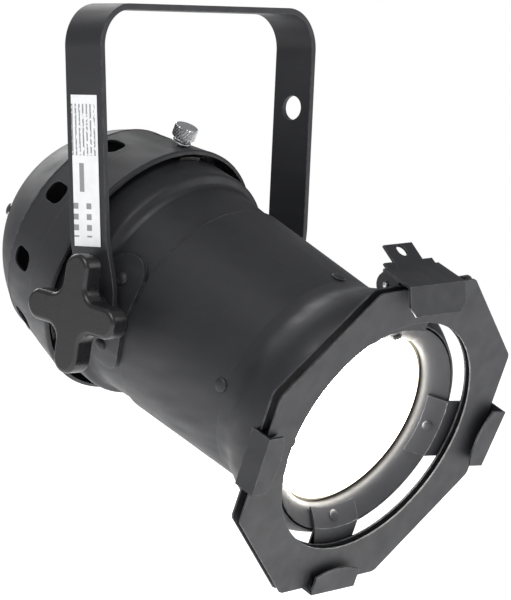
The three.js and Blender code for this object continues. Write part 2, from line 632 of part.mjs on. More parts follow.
// The riveted tab in the funnel and the flange that turns out over the rim, built on the +X side.
function clipRoot(flangeOut) {
  const tabLine = offsetLine(funnelLine, -SHEET - GAP).filter(([s]) => s > CLIP.tab);
  const tab = turned(closed(strip(tabLine, -CLIP.t)));
  const within = tabLine[tabLine.length - 1][1] - CLIP.t / 2;
  const flange = cut(
    box(flangeOut - 40, CLIP.t, CLIP.w, (flangeOut + 40) / 2, -CLIP.back - CLIP.t / 2),
    turned([[100, 0], [100, within], [150, within], [150, 0]]),
  );
  return unite(tab.intersect(box(60, 60, CLIP.w, 60, -120)), flange);
}

function makeClip(inside) {
  const outside = inside + CLIP.t;
  const length = CLIP.reach - CLIP.back;
  const web = box(CLIP.t, length, CLIP.w, inside + CLIP.t / 2, -(CLIP.back + CLIP.reach) / 2);
  const edge = outside - CLIP.lip;
  const half = CLIP.w / 2;
  const lipShape = new THREE.Shape();
  lipShape.moveTo(outside, -half);
  lipShape.lineTo(outside, half);
  lipShape.lineTo(edge, half);
  lipShape.quadraticCurveTo(edge - 2 * CLIP.bulge, 0, edge, -half);
  const sheet = new THREE.ExtrudeGeometry(lipShape, {
    depth: CLIP.t, bevelEnabled: false, curveSegments: 8,
  });
  const lip = solid(sheet.rotateX(Math.PI / 2).translate(0, CLIP.t - CLIP.reach, 0));
  return unite(clipRoot(outside), web, lip);
}

function clipRivet(degrees) {
  const { head, headT, shank, tail } = CLIP_RIVET;
  const piece = rivet(head, headT, shank, SHEET + CLIP.t + 3 * GAP, tail);
  return placeRivet(piece, clipSeat.r, clipSeat.s, clipSeat.tilt, degrees);
}

function makeClips() {
  for (const [side, { turn, inside }] of Object.entries(CLIPS)) {
    const clip = roundCan(makeClip(inside), turn);
    add(can, `frame_clip_${side}`, cut(clip, ...clipHoles()), blackPaint);
  }
  for (const [side, degrees] of Object.entries(noseTurns)) {
    add(can, `clip_rivet_${side}`, clipRivet(degrees), blackPaint);
  }
}

// Cheeks that carry the latch pin, in the plane across X at a distance from the middle.
function cheek(x, thickness, radius, outline) {
  const { s, v } = LATCH;
  const disc = rodX(radius, x - thickness / 2, x + thickness / 2, -s, v, 20);
  return unite(disc, slabSZ(outline, thickness, x));
}

function makeLatchBracket() {
  const { s, v } = LATCH;
  const ear = LATCH.ear - 1.2;
  const half = CLIP.w / 2;
  const root = solid(toGeometry(clipRoot(v)).rotateY(-Math.PI / 2));
  const foot = CLIP.back + 0.1;
  const outline = [[s, v - ear], [foot, v - ear - 3], [foot, v], [s, v]];
  const cheeks = [-1, 1].map((sign) => cheek(sign * (half - 0.6), CLIP.t, ear, outline));
  const pinHole = rodX(PIN_R + GAP, -30, 30, -s, v, 16);
  return cut(roundCan(cut(unite(root, ...cheeks), pinHole), LATCH.roll), ...clipHoles());
}

function makeLatch() {
  const { w, s, v, top, ear, front, lipDrop, lipReach } = LATCH;
  const back = s - 3.5;
  const thick = CLIP.t;
  const roof = [[back, top], [front, top], [front + lipReach, top - lipDrop]];
  const sheet = slabSZ(strip(roof, thick), w);
  const rise = TAB.rise / TAB.length;
  const tail = (from, to) => strip([
    [back - to, top + rise * to], [back - from + 0.6, top + rise * from],
  ], thick);
  const shoulders = slabSZ(tail(-0.4, 3), w - 5);
  const tab = slabSZ(tail(0, 3 + TAB.length), TAB.w);
  const tabHole = solid(new THREE.CylinderGeometry(TAB.hole, TAB.hole, 20, 20).rotateX(Math.PI / 2)
    .translate(0, -(back - 8), top + 4));
  const cheekX = CLIP.w / 2 + 2.2;
  const outline = [[s - ear, v], [s + ear, v], [s + ear, top + 0.2], [s - 4, top + 0.2]];
  const cheeks = [-1, 1].map((sign) => cheek(sign * cheekX, thick, ear, outline));
  const corner = box(6, 30, 6, 0, 0, 0);
  const corners = [-1, 1].map((sign) => solid(
    toGeometry(corner).rotateY(Math.PI / 4).translate((sign * w) / 2, -(front + lipReach), top - lipDrop),
  ));
  const pinHole = rodX(PIN_R + GAP, -30, 30, -s, v, 16);
  return roundCan(cut(unite(sheet, shoulders, tab, ...cheeks), pinHole, tabHole, ...corners), LATCH.roll);
}

class Coil extends THREE.Curve {
  constructor(radius, length, turns) {
    super();
    Object.assign(this, { radius, length, turns });
  }

  getPoint(t) {
    const turn = 2 * Math.PI * this.turns * t;
    const x = this.length * (t - 0.5);
    return new THREE.Vector3(x, this.radius * Math.cos(turn), this.radius * Math.sin(turn));
  }
}

function makeSpring() {
  const wire = new THREE.Shape();
  wire.absarc(0, 0, 0.6, 0, 2 * Math.PI, false);
  const coil = new THREE.ExtrudeGeometry(wire, {
    steps: 45, curveSegments: 3, bevelEnabled: false, extrudePath: new Coil(3.2, 18, 5),
  });
  return roundCan(solid(coil.translate(0, -LATCH.s, LATCH.v)), LATCH.roll);
}

function makeLatchParts() {
  add(can, 'latch_bracket', makeLatchBracket(), blackPaint);
  add(can, 'frame_latch', makeLatch(), blackPaint);
  const pinEnd = CLIP.w / 2 + 4.4;
  const pin = rodX(PIN_R, -pinEnd, pinEnd, -LATCH.s, LATCH.v, 16);
  add(can, 'latch_pin', roundCan(pin, LATCH.roll), zinc);
  add(can, 'latch_spring', makeSpring(), springSteel);
}

makeYoke();
makePivots();
makeBody();
makeCap();
makeCapFixings();
makeGland();
makeLamp();
makeHolder();
makeLampRing();
makeColourFrame();
makeClips();
makeLatchParts();

export default light;
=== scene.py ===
import json
import math

import bmesh
import bpy
from mathutils import Matrix, Vector


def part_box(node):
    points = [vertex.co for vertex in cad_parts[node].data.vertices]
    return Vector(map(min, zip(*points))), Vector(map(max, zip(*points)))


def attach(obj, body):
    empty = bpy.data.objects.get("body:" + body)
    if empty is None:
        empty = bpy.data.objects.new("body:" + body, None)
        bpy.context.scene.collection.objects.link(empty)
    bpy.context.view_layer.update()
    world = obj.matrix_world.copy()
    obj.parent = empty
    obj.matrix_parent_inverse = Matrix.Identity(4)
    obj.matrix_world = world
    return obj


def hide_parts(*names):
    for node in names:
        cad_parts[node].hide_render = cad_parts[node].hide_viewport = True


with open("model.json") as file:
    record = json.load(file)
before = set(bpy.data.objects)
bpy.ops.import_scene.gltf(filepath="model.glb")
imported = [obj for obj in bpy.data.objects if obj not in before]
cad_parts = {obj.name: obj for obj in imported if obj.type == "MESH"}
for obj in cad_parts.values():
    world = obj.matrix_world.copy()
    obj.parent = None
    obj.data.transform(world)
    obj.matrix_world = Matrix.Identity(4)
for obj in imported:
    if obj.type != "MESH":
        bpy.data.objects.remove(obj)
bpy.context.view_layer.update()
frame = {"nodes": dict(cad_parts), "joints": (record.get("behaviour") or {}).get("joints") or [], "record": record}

# ---------------------------------------------------------------- places taken from the frame
# Lengths below are millimetres. Stations run forward along the can from the pivot, and radii are
# measured from the can's own axis. Angles round the can start at +X, with 90 degrees at the top.
MM = 0.001
joints = {joint["name"]: joint for joint in frame["joints"]}
slide_axis = Vector(joints["cap_slide"]["axis"])
tilt = Matrix.Rotation(math.atan2(slide_axis.z, slide_axis.y), 4, "X")
CAN = Matrix.Translation(joints["lamp_turn"]["pos_m"]) @ tilt
PIVOT = Matrix.Translation(joints["can_tilt"]["pos_m"]) @ tilt
FORWARD = CAN @ Matrix.Rotation(-math.pi / 2, 4, "Z")    # local +X runs forward along the can
MIRROR = {"right": Matrix.Identity(4), "left": Matrix.Scale(-1, 4, (1, 0, 0))}
NODE_BODY = {
    node: body
    for body, nodes in frame["record"]["behaviour"]["bodies"].items()
    for node in nodes
}
NODE_SLOT = {entry["node"]: entry["material_slot"] for entry in frame["record"]["subparts"]}

GAP = 0.3
SHEET = 1.0
CAN_FACETS = 160
SMALL_FACETS = 48

STRAP_W, STRAP_T = 24, 3
YOKE = {"half": 78.5, "lean": 3, "corner": 20, "pivot": 147, "foot_x": 67.5, "step_top": 34, "step_foot": 13}
CLAMP_HOLE_R, SAFETY_R, SAFETY_DROP, BORE_R = 6.25, 6, 49.5, 4.4

BARREL_BACK, BARREL_BACK_R = 11.3, 56.6
BELL = [(80, 55.2), (88, 56.4), (97, 60.3), (106, 62.3), (115, 61.5), (124.5, 56.6)]
REAR = [(-47, 60.1), (-19.5, 61.2), (-16.8, 60.6), (-14.6, 57.6), (-12.2, 56.6), (11.3, 55.3), (29, 55.2)]
CAP_RIM, CAP_STEP, CAP_BAND, CAP_POLE = (-33, 66.4), (-50.7, 62.5), (-72, 57.7), -113
VENT = {"count": 10, "first": 115, "axial": 12.5, "around": 11, "corner": 4.2, "s": -61.5}
GLAND_SEAT = {"s": -84, "r": 51.3, "tilt": -33}
BRACKET_SEAT = {"s": -98.5, "r": 38.5, "tilt": -50}
RING_SLEEVE = [(70, 53.8), (84, 53.8)]
RING_FUNNEL = [(110.5, 51), (115.2, 41), (123.9, 55.2)]
LENS = {"r": 47.3, "back": 106.5, "edge": 111, "front": 117}
KNOB = {"r": 29, "lobe": 7.5, "fillet": 7, "t": 11.5, "x": 73.3, "turn": -16, "round": 2.2}
FRAME = {"flats": 162, "corner": 47.7, "hole": 61.3, "t": 1.0, "back": 127.2, "front": 131.3, "splay": 0.7}
FRAME_ROLL, LATCH_ROLL = 4.5, 3
CLIP_TURNS = {"right": -3, "left": 185.5, "bottom": 274.5, "top": 93}
THUMB = {
    "s": -42, "foot": 61.1, "washer": 65.717, "neck": 67.117, "head": 68.717, "top": 74.717,
    "r": 6, "flutes": 24,
}


# ---------------------------------------------------------------- material helpers
class Shader:
    """A principled material with short names for the nodes that the finishes below share."""

    def __init__(self, name, **inputs):
        self.material = bpy.data.materials.new(name)
        self.material.use_nodes = True
        self.tree = self.material.node_tree
        self.bsdf = self.tree.nodes["Principled BSDF"]
        for key, value in inputs.items():
            self.bsdf.inputs[key.replace("_", " ")].default_value = value
        self.place = self.node("ShaderNodeTexCoord").outputs["Object"]

    def node(self, kind, **settings):
        made = self.tree.nodes.new(kind)
        for key, value in settings.items():
            setattr(made, key, value)
        return made

    def link(self, source, target):
        self.tree.links.new(source, target)

    def noise(self, size_mm, detail=2.0, stretch=None, roughness=0.5):
        """Noise whose features are about size_mm across."""
        made = self.node("ShaderNodeTexNoise")
        made.inputs["Scale"].default_value = 1 / (size_mm * MM)
        made.inputs["Detail"].default_value = detail
        made.inputs["Roughness"].default_value = roughness
        source = self.place
        if stretch:
            mapping = self.node("ShaderNodeMapping")
            mapping.inputs["Scale"].default_value = stretch
            self.link(self.place, mapping.inputs["Vector"])
            source = mapping.outputs["Vector"]
        self.link(source, made.inputs["Vector"])
        return made.outputs["Fac"]

    def span(self, value, low, high, to_low, to_high):
        made = self.node("ShaderNodeMapRange")
        for key, number in zip(("From Min", "From Max", "To Min", "To Max"), (low, high, to_low, to_high)):
            made.inputs[key].default_value = number
        self.link(value, made.inputs["Value"])
        return made.outputs["Result"]

    def math(self, operation, a, b):
        made = self.node("ShaderNodeMath", operation=operation)
        for socket, value in zip(made.inputs, (a, b)):
            if isinstance(value, (int, float)):
                socket.default_value = value
            else:
                self.link(value, socket)
        return made.outputs["Value"]

    def mix(self, factor, a, b):
        made = self.node("ShaderNodeMix", data_type="RGBA")
        self.link(factor, made.inputs["Factor"])
        for key, value in (("A", a), ("B", b)):
            socket = next(i for i in made.inputs if i.name == key and i.type == "RGBA")
            if isinstance(value, tuple):
                socket.default_value = (*value, 1)
            else:
                self.link(value, socket)
        return next(o for o in made.outputs if o.type == "RGBA")

    def edges(self, radius_mm):
        """Near 1 along the outer edges, broken up by noise, and 0 on the flats: a mask for edge wear and for
        painted edge highlights.
        """
        bevel = self.node("ShaderNodeBevel", samples=4)
        bevel.inputs["Radius"].default_value = radius_mm * MM
        plain = self.node("ShaderNodeNewGeometry")
        dot = self.node("ShaderNodeVectorMath", operation="DOT_PRODUCT")
        self.link(bevel.outputs["Normal"], dot.inputs[0])
        self.link(plain.outputs["Normal"], dot.inputs[1])
        bend = self.span(dot.outputs["Value"], 0.995, 0.86, 0.0, 1.0)
        return self.math("MULTIPLY", bend, self.span(self.noise(3.5, 4), 0.4, 0.62, 0.15, 1.0))

    def bump(self, *layers):
        """Chained bumps, each a (height, depth in mm, strength) from coarse to fine."""
        normal = None
        for height, depth, strength in layers:
            made = self.node("ShaderNodeBump")
            made.inputs["Distance"].default_value = depth * MM
            made.inputs["Strength"].default_value = strength
            self.link(height, made.inputs["Height"])
            if normal:
                self.link(normal, made.inputs["Normal"])
            normal = made.outputs["Normal"]
        self.link(normal, self.bsdf.inputs["Normal"])

    def colour(self, socket):
        self.link(socket, self.bsdf.inputs["Base Color"])

    def roughness(self, socket):
        self.link(socket, self.bsdf.inputs["Roughness"])


# ---------------------------------------------------------------- finishes
def powder_coat():
    """Black satin powder coat: fine orange peel, faint handling marks, and paler edges painted as highlight lines,
    partly rubbed wear.
    """
    s = Shader("black_powder_coat", Specular_IOR_Level=0.5)
    cloud = s.noise(38, 5)
    flat = s.mix(s.span(cloud, 0.35, 0.65, 0, 1), (0.0135, 0.014, 0.0172), (0.0175, 0.018, 0.0218))
    fleck = s.span(s.noise(0.5, 1), 0.68, 0.74, 0, 0.35)
    flecked = s.mix(fleck, flat, (0.07, 0.07, 0.075))
    # painted highlight: the edge mask lightens the paint into thin light lines along every edge, partly standing
    # for rubbed wear
    s.colour(s.mix(s.edges(0.7), flecked, (0.13, 0.132, 0.142)))
    marks = s.span(s.noise(9, 6, stretch=(1, 0.25, 1)), 0.3, 0.72, 0.44, 0.6)
    s.roughness(marks)
    s.bump((s.noise(1.3, 2), 0.05, 0.35), (s.noise(0.35, 2), 0.02, 0.35))
    return s.material


def moulded_plastic():
    """Black nylon with a low sheen, a fine spark-eroded grain and edges painted lighter as glossy highlights."""
    s = Shader("black_moulded_plastic", Specular_IOR_Level=0.5)
    # painted highlight: the edge mask lightens the rounded edges where light would catch them
    s.colour(s.mix(s.edges(1.4), (0.016, 0.016, 0.0175), (0.034, 0.034, 0.037)))
    s.roughness(s.span(s.noise(7, 5), 0.3, 0.7, 0.2, 0.36))
    s.bump((s.noise(4, 3), 0.04, 0.3), (s.noise(0.25, 2), 0.012, 0.3))
    return s.material


def zinc_plate():
    """Bright zinc: cool silver with a cloudy passivation and fine turning marks."""
    s = Shader("bright_zinc", Metallic=1.0)
    tint = s.mix(s.span(s.noise(2.2, 4), 0.35, 0.65, 0, 1), (0.5, 0.51, 0.53), (0.62, 0.625, 0.63))
    s.colour(s.mix(s.edges(0.25), tint, (0.74, 0.74, 0.73)))
    s.roughness(s.span(s.noise(1.1, 5), 0.3, 0.7, 0.2, 0.42))
    s.bump((s.noise(0.3, 3), 0.02, 0.4))
    return s.material


def blackened_steel():
    """Oiled black steel of bolts and lugs, rubbed to bare metal on its corners."""
    s = Shader("blackened_steel", Metallic=0.85)
    flat = s.mix(s.span(s.noise(5, 4), 0.35, 0.65, 0, 1), (0.05, 0.05, 0.053), (0.09, 0.088, 0.085))
    s.colour(s.mix(s.edges(0.3), flat, (0.36, 0.35, 0.34)))
    s.roughness(s.span(s.noise(1.6, 4), 0.3, 0.7, 0.32, 0.55))
    s.bump((s.noise(0.6, 3), 0.02, 0.4))
    return s.material


def spring_steel():
    """Drawn steel with marks along its length."""
    s = Shader("drawn_spring_steel", Metallic=1.0)
    s.colour(s.mix(s.span(s.noise(3, 4), 0.3, 0.7, 0, 1), (0.42, 0.43, 0.45), (0.6, 0.61, 0.63)))
    s.roughness(s.span(s.noise(0.8, 4, stretch=(0.15, 1, 1)), 0.3, 0.7, 0.22, 0.45))
    s.bump((s.noise(0.4, 3, stretch=(0.1, 1, 1)), 0.015, 0.5))
    return s.material


def ceramic():
    """Off-white steatite of the lampholder and terminal block: chalky, with dark specks."""
    s = Shader("steatite_ceramic", Specular_IOR_Level=0.4)
    flat = s.mix(s.span(s.noise(12, 4), 0.3, 0.7, 0, 1), (0.72, 0.69, 0.61), (0.8, 0.78, 0.71))
    s.colour(s.mix(s.span(s.noise(0.6, 1), 0.72, 0.76, 0, 0.6), flat, (0.35, 0.3, 0.24)))
    s.roughness(s.span(s.noise(2, 4), 0.3, 0.7, 0.45, 0.7))
    s.bump((s.noise(0.7, 4), 0.04, 0.5))
    return s.material


def brass():
    """Lamp cap brass, dulled where it has been hot."""
    s = Shader("lamp_cap_brass", Metallic=1.0)
    s.colour(s.mix(s.span(s.noise(6, 5), 0.35, 0.65, 0, 1), (0.62, 0.46, 0.2), (0.4, 0.27, 0.12)))
    s.roughness(s.span(s.noise(1.5, 4), 0.3, 0.7, 0.25, 0.5))
    s.bump((s.noise(0.5, 3), 0.015, 0.4))
    return s.material


def silvered_glass():
    """The lamp's mirror-coated bowl, a little uneven as blown glass is."""
    s = Shader("silvered_glass", Metallic=1.0)
    s.colour(s.mix(s.span(s.noise(15, 3), 0.3, 0.7, 0, 1), (0.8, 0.81, 0.83), (0.9, 0.9, 0.89)))
    s.roughness(s.span(s.noise(4, 4), 0.3, 0.7, 0.05, 0.16))
    s.bump((s.noise(6, 2), 0.08, 0.4))
    return s.material


def lit_lens():
    """Frosted front glass of the lit lamp: white-hot in the middle, warmer and dimmer at the edge."""
    s = Shader("lit_frosted_glass", Roughness=0.35)
    offset = s.node("ShaderNodeVectorMath", operation="SUBTRACT")
    offset.inputs[1].default_value = CAN.translation
    s.link(s.place, offset.inputs[0])
    across = s.node("ShaderNodeVectorMath", operation="CROSS_PRODUCT")
    across.inputs[1].default_value = slide_axis
    s.link(offset.outputs["Vector"], across.inputs[0])
    radius = s.node("ShaderNodeVectorMath", operation="LENGTH")
    s.link(across.outputs["Vector"], radius.inputs[0])
    edge = s.span(radius.outputs["Value"], 0.0405, 0.0455, 0, 1)
    s.colour(s.mix(edge, (0.9, 0.9, 0.86), (0.3, 0.28, 0.2)))
    s.link(s.mix(edge, (1.0, 0.975, 0.91), (1.0, 0.9, 0.72)), s.bsdf.inputs["Emission Color"])
    s.link(s.math("MULTIPLY", s.span(radius.outputs["Value"], 0.0415, 0.0452, 20.0, 0.3),
                  s.span(s.noise(2.5, 3), 0.3, 0.7, 0.92, 1.08)), s.bsdf.inputs["Emission Strength"])
    s.bump((s.noise(1.6, 2), 0.12, 0.5))
    return s.material


def blank_label():
    """A white rating label with plain grey bars where print would be."""
    s = Shader("blank_rating_label", Roughness=0.45, Specular_IOR_Level=0.35)
    low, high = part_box("rating_label")
    split = s.node("ShaderNodeSeparateXYZ")
    s.link(s.place, split.inputs["Vector"])
    across = s.span(split.outputs["Y"], low.y, high.y, 0, 1)
    up = s.span(split.outputs["Z"], low.z, high.z, 0, 1)

    def band(value, start, end):
        return s.math("MULTIPLY", s.math("GREATER_THAN", value, start), s.math("LESS_THAN", value, end))

    def bars(columns, gap):
        return s.math("GREATER_THAN", s.math("FRACT", s.math("MULTIPLY", across, columns), 0), gap)

    rows = s.math("MULTIPLY", band(up, 0.6, 0.94), bars(7, 0.6))
    broken = s.math("MULTIPLY", rows, s.math("GREATER_THAN", s.noise(1.5, 1), 0.42))
    block = s.math("MULTIPLY", band(up, 0.36, 0.55), band(across, 0.56, 0.74))
    boxes = s.math("MULTIPLY", band(up, 0.06, 0.3), s.math("MULTIPLY", bars(2, 0.62), s.math(
        "GREATER_THAN", s.math("FRACT", s.math("MULTIPLY", up, 14), 0), 0.45)))
    ink = s.math("MINIMUM", s.math("ADD", s.math("ADD", broken, block), boxes), 1)
    paper = s.mix(s.span(s.noise(6, 4), 0.3, 0.7, 0, 1), (0.8, 0.81, 0.83), (0.87, 0.875, 0.885))
    s.colour(s.mix(s.math("MULTIPLY", ink, 0.8), paper, (0.14, 0.14, 0.15)))
    s.bump((s.noise(0.8, 3), 0.01, 0.3))
    return s.material


FINISHES = {
    "black_paint": powder_coat(), "black_plastic": moulded_plastic(), "zinc": zinc_plate(),
    "dark_steel": blackened_steel(), "spring_steel": spring_steel(), "ceramic": ceramic(),
    "brass": brass(), "silvered_glass": silvered_glass(), "lamp_glass": lit_lens(),
    "label_paper": blank_label(),
}


# ---------------------------------------------------------------- mesh helpers
def arc(cx, cy, r, start, end, steps):
    """Points on a circle from one angle to another, in degrees."""
    turns = [math.radians(start + (end - start) * i / steps) for i in range(steps + 1)]
    return [(cx + r * math.cos(a), cy + r * math.sin(a)) for a in turns]


def bezier(a, b, c, steps):
    """Points on the curve from a to c that is drawn towards b."""
    out = []
    for i in range(steps + 1):
        t = i / steps
        weights = ((1 - t) ** 2, 2 * t * (1 - t), t * t)
        out.append(tuple(sum(w * p[k] for w, p in zip(weights, (a, b, c))) for k in (0, 1)))
    return out


def spline_point(points, t):
    """A point on the smooth curve through the given points, t running from 0 to 1."""
    place = t * (len(points) - 1)
    i = min(int(place), len(points) - 2)
    w = place - i
    p0, p1 = points[max(i - 1, 0)], points[i]
    p2, p3 = points[i + 1], points[min(i + 2, len(points) - 1)]

    def along(k):
        v0, v1 = (p2[k] - p0[k]) / 2, (p3[k] - p1[k]) / 2
        cubic = (2 * (p1[k] - p2[k]) + v0 + v1) * w ** 3
        return cubic + (-3 * (p1[k] - p2[k]) - 2 * v0 - v1) * w * w + v0 * w + p1[k]

    return (along(0), along(1))


def offset_line(points, distance):
    """The same open line, moved sideways to its left, with mitred corners."""
    normals = []
    for (x0, y0), (x1, y1) in zip(points, points[1:]):
        length = math.hypot(x1 - x0, y1 - y0)
        normals.append((-(y1 - y0) / length, (x1 - x0) / length))
    moved = []
    for i, (x, y) in enumerate(points):
        before, after = normals[max(i - 1, 0)], normals[min(i, len(normals) - 1)]
        mx, my = before[0] + after[0], before[1] + after[1]
        scale = 2 * distance / (mx * mx + my * my)
        moved.append((x + mx * scale, y + my * scale))
    return moved


def wall(outer, thickness):
    """A loop round a sheet whose outer face follows the given line, its ends rounded over."""
    inner = offset_line(outer, -thickness)

    def cap(a, b):
        middle = ((a[0] + b[0]) / 2, (a[1] + b[1]) / 2)
        return [(a[0] + (middle[0] - a[0]) * 0.3, a[1] + (middle[1] - a[1]) * 0.3),
                (b[0] + (middle[0] - b[0]) * 0.3, b[1] + (middle[1] - b[1]) * 0.3)]

    def pulled(line, amount):
        (x0, y0), (x1, y1) = line[0], line[1]
        length = math.hypot(x1 - x0, y1 - y0)
        start = (x0 + (x1 - x0) * amount / length, y0 + (y1 - y0) * amount / length)
        (x0, y0), (x1, y1) = line[-1], line[-2]
        length = math.hypot(x1 - x0, y1 - y0)
        end = (x0 + (x1 - x0) * amount / length, y0 + (y1 - y0) * amount / length)
        return [start, *line[1:-1], end]

    ease = 0.3 * thickness
    return [*pulled(outer, ease), *cap(outer[-1], inner[-1]), *reversed(pulled(inner, ease)),
            *cap(inner[0], outer[0])]


def lathe(profile, place, facets, loop=True):
    """Turns [height, radius] points about local X. A profile that isn't a loop ends on the axis."""
    bm = bmesh.new()
    rings = []
    for height, radius in profile:
        if radius < 1e-6:
            rings.append([bm.verts.new(place @ (Vector((height, 0, 0)) * MM))])
            continue
        ring = []
        for i in range(facets):
            a = 2 * math.pi * i / facets
            point = Vector((height, radius * math.cos(a), radius * math.sin(a)))
            ring.append(bm.verts.new(place @ (point * MM)))
        rings.append(ring)
    pairs = list(zip(rings, rings[1:]))
    if loop:
        pairs.append((rings[-1], rings[0]))
    for one, two in pairs:
        for i in range(facets):
            j = (i + 1) % facets
            corners = [one[i % len(one)], one[j % len(one)], two[j % len(two)], two[i % len(two)]]
            corners = list(dict.fromkeys(corners))
            if len(corners) > 2:
                bm.faces.new(corners)
    return bm


def prism(outline, low, high, place):
    """An outline of (y, z) points made into a solid from one x to another."""
    bm = bmesh.new()
    ends = [[bm.verts.new(place @ (Vector((x, y, z)) * MM)) for y, z in outline] for x in (low, high)]
    count = len(outline)
    for i in range(count):
        j = (i + 1) % count
        bm.faces.new((ends[0][i], ends[0][j], ends[1][j], ends[1][i]))
    bm.faces.new(ends[0])
    bm.faces.new(ends[1])
    bmesh.ops.recalc_face_normals(bm, faces=bm.faces)
    return bm


def joined(*parts):
    """Several separate shells in one mesh."""
    whole = parts[0]
    for part in parts[1:]:
        mesh = bpy.data.meshes.new("part")
        part.to_mesh(mesh)
        part.free()
        whole.from_mesh(mesh)
        bpy.data.meshes.remove(mesh)
    return whole


def holder_of(bm, name):
    bmesh.ops.recalc_face_normals(bm, faces=bm.faces)
    mesh = bpy.data.meshes.new(name)
    bm.to_mesh(mesh)
    bm.free()
    made = bpy.data.objects.new(name, mesh)
    bpy.context.scene.collection.objects.link(made)
    return made


def combined(target, tools, operation="DIFFERENCE"):
    """The target with the tools cut from it, or united with it."""
    base = holder_of(target, "boolean_base")
    others = [holder_of(tool, "boolean_tool") for tool in tools]
    for other in others:
        step = base.modifiers.new("cut", "BOOLEAN")
        step.operation, step.solver, step.object = operation, "EXACT", other
    bpy.context.view_layer.update()
    shaped = base.evaluated_get(bpy.context.evaluated_depsgraph_get()).to_mesh()
    bm = bmesh.new()
    bm.from_mesh(shaped)
    for temporary in (base, *others):
        mesh = temporary.data
        bpy.data.objects.remove(temporary)
        bpy.data.meshes.remove(mesh)
    return bm


def round_edges(bm, radius, angle=40, segments=3):
    """Rounds every edge that is sharper than the angle."""
    bmesh.ops.remove_doubles(bm, verts=bm.verts, dist=1e-6)
    bmesh.ops.dissolve_limit(bm, angle_limit=math.radians(0.5), verts=bm.verts, edges=bm.edges)
    sharp = [e for e in bm.edges if e.is_manifold and e.calc_face_angle(0) > math.radians(angle)]
    bmesh.ops.bevel(bm, geom=sharp, offset=radius * MM, offset_type="OFFSET", segments=segments,
                    profile=0.5, affect="EDGES", clamp_overlap=True)
    return bm


def piece(bm, name, *nodes, sharp=50):
    """Shows a mesh in place of CAD nodes, on their body and with their finish."""
    bmesh.ops.remove_doubles(bm, verts=bm.verts, dist=1e-7)
    made = holder_of(bm, name)
    made.data.shade_smooth()
    made.data.set_sharp_from_angle(angle=math.radians(sharp))
    weighted = made.modifiers.new("even_normals", "WEIGHTED_NORMAL")
    weighted.keep_sharp = True
    slot = NODE_SLOT[nodes[0]]
    made.data.materials.append(FINISHES[slot])
    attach(made, NODE_BODY[nodes[0]])
    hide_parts(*nodes)
    return made


def soften(node, radius=0.3, angle=35):
    """The CAD piece itself, with its edges rounded over."""
    bm = bmesh.new()
    bm.from_mesh(frame["nodes"][node].data)
    return piece(round_edges(bm, radius, angle), f"{node}_rounded", node)


def round_can(degrees):
    return CAN @ Matrix.Rotation(-math.radians(degrees), 4, "Y")


def seat(radius, station, lean, degrees):
    """Local +X stands out from the can's skin at a station, leaning forward with the skin."""
    stand = Matrix.Translation(Vector((radius, -station, 0)) * MM)
    return round_can(degrees) @ stand @ Matrix.Rotation(-math.radians(lean), 4, "Z")


# ---------------------------------------------------------------- yoke and label
def yoke_line():
    """Outer face of the right arm, from the middle of the top bar down to its foot."""
    lean = math.radians(YOKE["lean"])
    r = YOKE["corner"]
    centre = (YOKE["half"] * math.cos(lean) - r - r * math.sin(lean)) / math.cos(lean)
    line = arc(centre, -r, r, 90, -YOKE["lean"], 24)
    knee_z = YOKE["step_top"] - YOKE["pivot"]
    knee = (YOKE["half"] + knee_z * math.tan(lean), knee_z)
    heel = (YOKE["foot_x"], YOKE["step_foot"] - YOKE["pivot"])
    foot = (YOKE["foot_x"], -YOKE["pivot"] - STRAP_W / 2)

    def bend(before, corner, after, reach):
        ends = []
        for other in (before, after):
            length = math.hypot(other[0] - corner[0], other[1] - corner[1])
            ends.append(tuple(c + (o - c) * reach / length for c, o in zip(corner, other)))
        return bezier(ends[0], corner, ends[1], 6)

    return [*line, *bend(line[-1], knee, heel, 5), *bend(knee, heel, foot, 5), foot]


def make_yoke():
    right = yoke_line()
    outer = [(-x, z) for x, z in reversed(right)] + right
    outline = [*outer, *reversed(offset_line(outer, -STRAP_T))]
    across = Matrix.Rotation(math.pi / 2, 4, "Z")
    bar = prism([(-x, z) for x, z in outline], -STRAP_W / 2, STRAP_W / 2, across)
    level = Matrix.Identity(4)
    upright = Matrix.Rotation(-math.pi / 2, 4, "Y")
    pivot_z = -YOKE["pivot"]
    half = STRAP_W / 2
    foot = [(half + 1, pivot_z), *arc(0, pivot_z, half, 0, -180, 32), (-half - 1, pivot_z),
            (-half - 1, pivot_z - half - 1), (half + 1, pivot_z - half - 1)]
    cuts = [
        prism(arc(0, 0, CLAMP_HOLE_R, 0, 352.5, 47), -9, 9, upright),
        prism(arc(0, -SAFETY_DROP, SAFETY_R, 0, 352.5, 47), 40, 90, level),
        prism(arc(0, pivot_z, BORE_R, 0, 350, 35), -90, 90, level),
        prism(foot, -90, 90, level),
    ]
    piece(round_edges(combined(bar, cuts), 0.45), "yoke_strap", "yoke")
    soften("rating_label", 0.08)


# ---------------------------------------------------------------- pivots, knobs and rivets
def make_knobs():
    tip = KNOB["r"] - KNOB["lobe"]
    inner = KNOB["lobe"] + KNOB["fillet"]
    outline = []
    for i in range(4):
        turn = KNOB["turn"] + 90 * i
        c, s = math.cos(math.radians(turn)), math.sin(math.radians(turn))
        outline += arc(tip * c, tip * s, KNOB["lobe"], turn - 90, turn + 90, 16)[:-1]
        hollow = (inner * c - inner * s, inner * s + inner * c)
        outline += arc(*hollow, KNOB["fillet"], turn - 90, turn - 180, 10)[:-1]
    for side, mirror in MIRROR.items():
        place = PIVOT @ mirror
        star = round_edges(prism(outline, KNOB["x"], KNOB["x"] + KNOB["t"], place), KNOB["round"], 60, 6)
        boss = lathe([(68.1, 4.4), (68.1, 10.2), (68.8, 11), (KNOB["x"] + 1, 11), (KNOB["x"] + 1, 4.4)],
                     place, SMALL_FACETS)
        piece(joined(star, boss), f"star_knob_{side}", f"knob_{side}", sharp=60)


